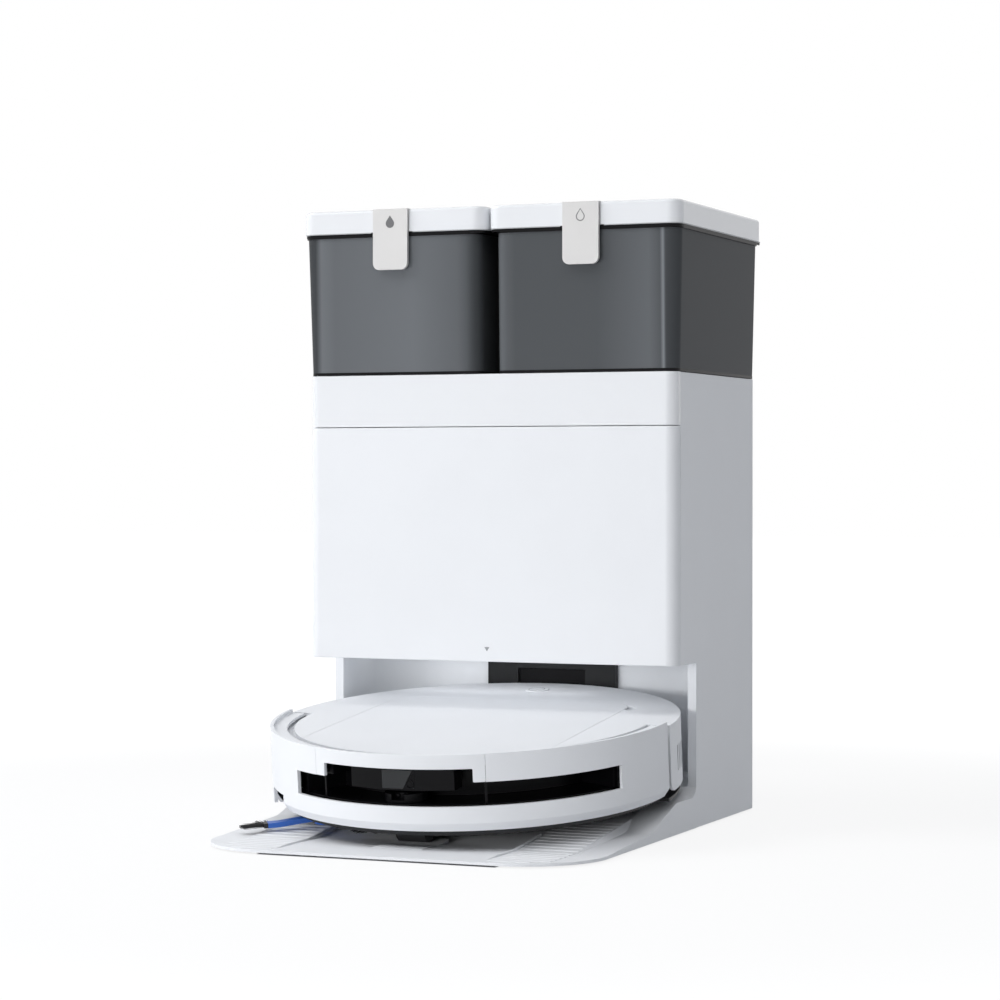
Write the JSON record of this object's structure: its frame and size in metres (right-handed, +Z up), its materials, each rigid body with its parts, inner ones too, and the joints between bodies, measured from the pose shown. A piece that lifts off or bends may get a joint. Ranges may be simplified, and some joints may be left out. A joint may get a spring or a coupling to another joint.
{
  "type": "robot vacuum with docking station",
  "caption": "Round robot vacuum and mop backed into an upright self-emptying washing station with twin lift-out water tanks, hinged lids and front latches.",
  "frame": {"origin": "on the floor, under the middle of the station's base plate, in the face of the centre foot", "axes": "+X to the station's right as seen from its front, +Y from the ramp towards the rear cover, +Z up"},
  "size_m": [0.356, 0.466, 0.541],
  "materials": {
    "white_shell": "satin moulded",
    "white_gloss": "high gloss",
    "bay_grey": "fine matt",
    "smoke_tank": "clear smoke tint",
    "black_rim": "matt",
    "latch_grey": "satin",
    "black_plastic": "satin",
    "dark_grey": "matt",
    "rubber": "matt",
    "tyre": "matt",
    "brush_blue": "satin",
    "bristle": "fine strands",
    "mop_cloth": "looped pile",
    "bag_cloth": "non-woven",
    "steel": "ground",
    "contact": "plated",
    "board": "solder mask"
  },
  "bodies": {
    "station": {"base_plate": "white_shell", "feet": "rubber", "wash_tray": "bay_grey", "side_panel_left": "white_shell", "side_panel_right": "white_shell", "bay_liner": "bay_grey", "rear_cover": "white_shell", "upper_shell": "white_gloss", "bag_compartment": "bay_grey", "dust_bag": "bag_cloth", "dust_duct": "dark_grey", "suction_motor": "dark_grey", "clean_pump": "dark_grey", "drain_pump": "dark_grey", "control_board": "board", "power_supply": "dark_grey", "mains_inlet": "black_plastic", "beacon_window": "black_plastic"},
    "front_cover": {"front_cover": "white_shell"},
    "charge_contacts": {"charge_contacts": "contact"},
    "dirty_tank": {"dirty_tank": "smoke_tank", "dirty_tank_rim": "black_rim", "dirty_tank_valve": "black_plastic", "dirty_hinge_pin": "steel"},
    "dirty_lid": {"dirty_lid": "white_gloss"},
    "dirty_latch": {"dirty_latch": "latch_grey"},
    "clean_tank": {"clean_tank": "smoke_tank", "clean_tank_rim": "black_rim", "clean_tank_valve": "black_plastic", "clean_hinge_pin": "steel"},
    "clean_lid": {"clean_lid": "white_gloss"},
    "clean_latch": {"clean_latch": "latch_grey"},
    "robot": {"chassis": "dark_grey", "rear_shell": "white_shell", "top_shell": "white_shell", "sensor_bay": "black_plastic", "camera_block": "black_plastic", "brush_guard": "dark_grey", "dust_bin": "dark_grey", "fan_motor": "dark_grey", "battery": "dark_grey", "main_board": "board"},
    "bumper": {"bumper": "white_shell", "sensor_hood": "white_shell"},
    "top_cover": {"top_cover": "white_shell"},
    "start_button": {"start_button": "white_shell"},
    "lidar_turret": {"lidar_turret": "black_plastic"},
    "caster_fork": {"caster_fork": "black_plastic"},
    "caster_wheel": {"caster_wheel": "tyre"},
    "main_brush": {"main_brush": "rubber"},
    "side_brush": {"side_brush": "brush_blue", "side_brush_bristles": "bristle"},
    "wheel_arm_left": {"wheel_arm_left": "dark_grey"},
    "drive_wheel_left": {"drive_wheel_left": "tyre"},
    "mop_left": {"mop_holder_left": "dark_grey", "mop_pad_left": "mop_cloth"},
    "wheel_arm_right": {"wheel_arm_right": "dark_grey"},
    "drive_wheel_right": {"drive_wheel_right": "tyre"},
    "mop_right": {"mop_holder_right": "dark_grey", "mop_pad_right": "mop_cloth"}
  },
  "joints": [
    {"name": "front_cover_pull", "type": "slide", "parent": "station", "child": "front_cover", "axis": [0, -1, 0], "range_m": [0, 0.06]},
    {"name": "charge_contacts_press", "type": "slide", "parent": "station", "child": "charge_contacts", "axis": [0, 1, 0], "range_m": [0, 0.002], "stiffness_N_per_m": 400},
    {"name": "dirty_tank_lift", "type": "slide", "parent": "station", "child": "dirty_tank", "axis": [0, 0, 1], "range_m": [0, 0.15]},
    {"name": "dirty_lid_hinge", "type": "hinge", "parent": "dirty_tank", "child": "dirty_lid", "pos_m": [-0.0895, 0.2326, 0.521], "axis": [-1, 0, 0], "range_deg": [0, 95]},
    {"name": "dirty_latch_hinge", "type": "hinge", "parent": "dirty_lid", "child": "dirty_latch", "pos_m": [-0.0895, 0.0105, 0.537], "axis": [-1, 0, 0], "range_deg": [0, 60]},
    {"name": "clean_tank_lift", "type": "slide", "parent": "station", "child": "clean_tank", "axis": [0, 0, 1], "range_m": [0, 0.15]},
    {"name": "clean_lid_hinge", "type": "hinge", "parent": "clean_tank", "child": "clean_lid", "pos_m": [0.0895, 0.2326, 0.521], "axis": [-1, 0, 0], "range_deg": [0, 95]},
    {"name": "clean_latch_hinge", "type": "hinge", "parent": "clean_lid", "child": "clean_latch", "pos_m": [0.0895, 0.0105, 0.537], "axis": [-1, 0, 0], "range_deg": [0, 60]},
    {"name": "robot_drive", "type": "slide", "parent": "station", "child": "robot", "axis": [0, -1, 0], "range_m": [0, 0.4]},
    {"name": "bumper_press", "type": "slide", "parent": "robot", "child": "bumper", "axis": [0, 0.9942, 0.1073], "range_m": [0, 0.004], "stiffness_N_per_m": 500},
    {"name": "top_cover_lift", "type": "slide", "parent": "robot", "child": "top_cover", "axis": [0, -0.1073, 0.9942], "range_m": [0, 0.02]},
    {"name": "start_button_press", "type": "slide", "parent": "robot", "child": "start_button", "axis": [0, 0.1073, -0.9942], "range_m": [0, 0.0012], "stiffness_N_per_m": 500},
    {"name": "lidar_spin", "type": "hinge", "parent": "robot", "child": "lidar_turret", "pos_m": [0, -0.16424, 0.04229], "axis": [0, -0.1073, 0.9942], "continuous": true},
    {"name": "caster_swivel", "type": "hinge", "parent": "robot", "child": "caster_fork", "pos_m": [0, -0.14054, 0.0184], "axis": [0, -0.1073, 0.9942], "continuous": true},
    {"name": "caster_roll", "type": "hinge", "parent": "caster_fork", "child": "caster_wheel", "pos_m": [0, -0.14651, 0.01775], "axis": [1, 0, 0], "continuous": true},
    {"name": "main_brush_spin", "type": "hinge", "parent": "robot", "child": "main_brush", "pos_m": [0, -0.0244, 0.04199], "axis": [1, 0, 0], "continuous": true},
    {"name": "side_brush_spin", "type": "hinge", "parent": "robot", "child": "side_brush", "pos_m": [-0.098, -0.10982, 0.01326], "axis": [0, -0.1073, 0.9942], "continuous": true},
    {"name": "wheel_arm_left_swing", "type": "hinge", "parent": "robot", "child": "wheel_arm_left", "pos_m": [-0.101, -0.06401, 0.05482], "axis": [1, 0, 0], "range_deg": [0, 8], "stiffness_Nm_per_rad": 1.5, "springref_deg": -14.32},
    {"name": "drive_wheel_left_spin", "type": "hinge", "parent": "wheel_arm_left", "child": "drive_wheel_left", "pos_m": [-0.118, -0.01543, 0.05202], "axis": [1, 0, 0], "continuous": true},
    {"name": "mop_left_spin", "type": "hinge", "parent": "robot", "child": "mop_left", "pos_m": [-0.066, 0.0754, 0.03054], "axis": [0, -0.1073, 0.9942], "continuous": true},
    {"name": "wheel_arm_right_swing", "type": "hinge", "parent": "robot", "child": "wheel_arm_right", "pos_m": [0.101, -0.06401, 0.05482], "axis": [1, 0, 0], "range_deg": [0, 8], "stiffness_Nm_per_rad": 1.5, "springref_deg": -14.32},
    {"name": "drive_wheel_right_spin", "type": "hinge", "parent": "wheel_arm_right", "child": "drive_wheel_right", "pos_m": [0.118, -0.01543, 0.05202], "axis": [1, 0, 0], "continuous": true},
    {"name": "mop_right_spin", "type": "hinge", "parent": "robot", "child": "mop_right", "pos_m": [0.066, 0.0754, 0.03054], "axis": [0, -0.1073, 0.9942], "continuous": true}
  ],
  "couplings": [
    {"joint": "mop_right_spin", "follows": "mop_left_spin", "ratio": -1}
  ]
}
